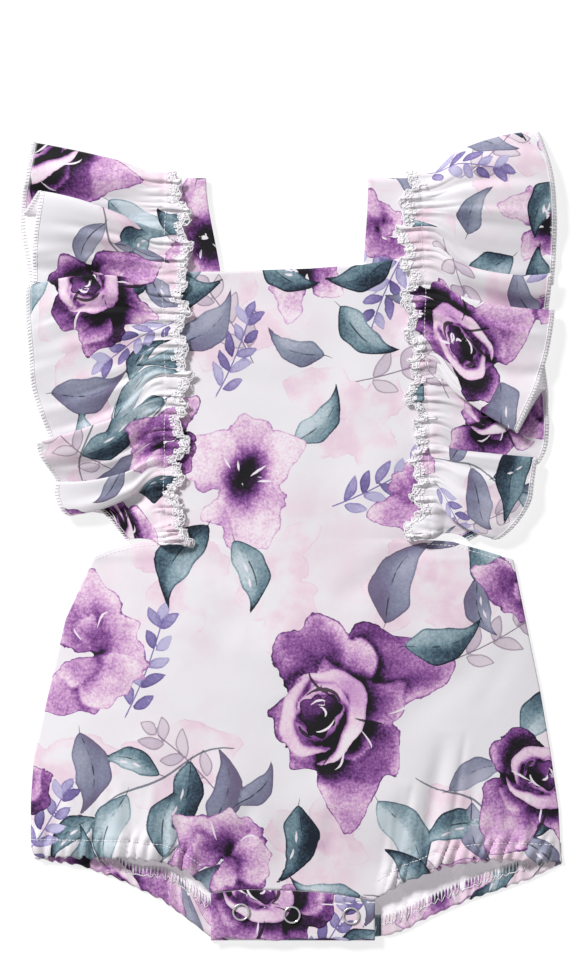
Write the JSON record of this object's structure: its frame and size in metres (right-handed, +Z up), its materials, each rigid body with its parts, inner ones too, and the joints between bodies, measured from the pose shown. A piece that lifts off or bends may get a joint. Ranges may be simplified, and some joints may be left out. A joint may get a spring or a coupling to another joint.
{
  "type": "baby romper",
  "caption": "Sleeveless baby romper laid flat, with a straight bib, gathered shoulder ruffles, elastic leg hems and a snap crotch.",
  "frame": {"origin": "middle of the garment's outline, on the surface that it lies on", "axes": "+X across the garment towards its right edge as seen from above, +Y from the legs to the shoulders, +Z up from the surface, out of the front"},
  "size_m": [0.2872, 0.4299, 0.0145],
  "materials": {
    "print": "matte printed cotton",
    "print_inside": "matte reverse of printed cotton",
    "nickel": "nickel plated"
  },
  "bodies": {
    "root": {"front_panel": "print", "back_panel": "print_inside", "strap_left": "print", "strap_right": "print", "ruffle_left": "print", "ruffle_right": "print", "crotch_band_front": "print", "crotch_band_back": "print", "snap_ring_1": "nickel", "snap_ring_2": "nickel", "snap_ring_3": "nickel", "snap_socket_1": "nickel", "snap_socket_2": "nickel", "snap_socket_3": "nickel", "snap_stud_1": "nickel", "snap_stud_2": "nickel", "snap_stud_3": "nickel"}
  },
  "joints": []
}
